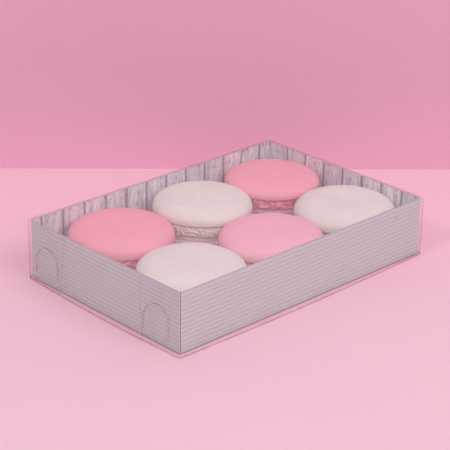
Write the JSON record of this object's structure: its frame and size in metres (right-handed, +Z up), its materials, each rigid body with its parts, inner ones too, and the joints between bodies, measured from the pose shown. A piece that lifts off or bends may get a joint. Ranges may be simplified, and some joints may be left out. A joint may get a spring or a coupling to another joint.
{
  "type": "macaron box",
  "caption": "Low printed card tray under a clear folded film lid, holding macarons in two rows.",
  "frame": {"origin": "middle of the tray's underside, on the surface it stands on", "axes": "+X along the long side towards the right end, +Y towards the back long side, +Z up"},
  "size_m": [0.1563, 0.1055, 0.0287],
  "materials": {
    "card": "printed matt card",
    "film": "clear smooth film",
    "vanilla": null,
    "rose": null,
    "strawberry": null,
    "buttercream": null
  },
  "bodies": {
    "tray": {"tray": "card", "macaron_front_left_bottom_shell": "vanilla", "macaron_front_left_filling": "buttercream", "macaron_front_left_top_shell": "vanilla", "macaron_front_middle_bottom_shell": "rose", "macaron_front_middle_filling": "buttercream", "macaron_front_middle_top_shell": "rose", "macaron_front_right_bottom_shell": "vanilla", "macaron_front_right_filling": "buttercream", "macaron_front_right_top_shell": "vanilla", "macaron_back_left_bottom_shell": "strawberry", "macaron_back_left_filling": "buttercream", "macaron_back_left_top_shell": "strawberry", "macaron_back_middle_bottom_shell": "vanilla", "macaron_back_middle_filling": "buttercream", "macaron_back_middle_top_shell": "vanilla", "macaron_back_right_bottom_shell": "strawberry", "macaron_back_right_filling": "buttercream", "macaron_back_right_top_shell": "strawberry"},
    "lid": {"lid": "film"}
  },
  "joints": [
    {"name": "lid_lift", "type": "slide", "parent": "tray", "child": "lid", "axis": [0, 0, 1], "range_m": [0, 0.04]}
  ]
}
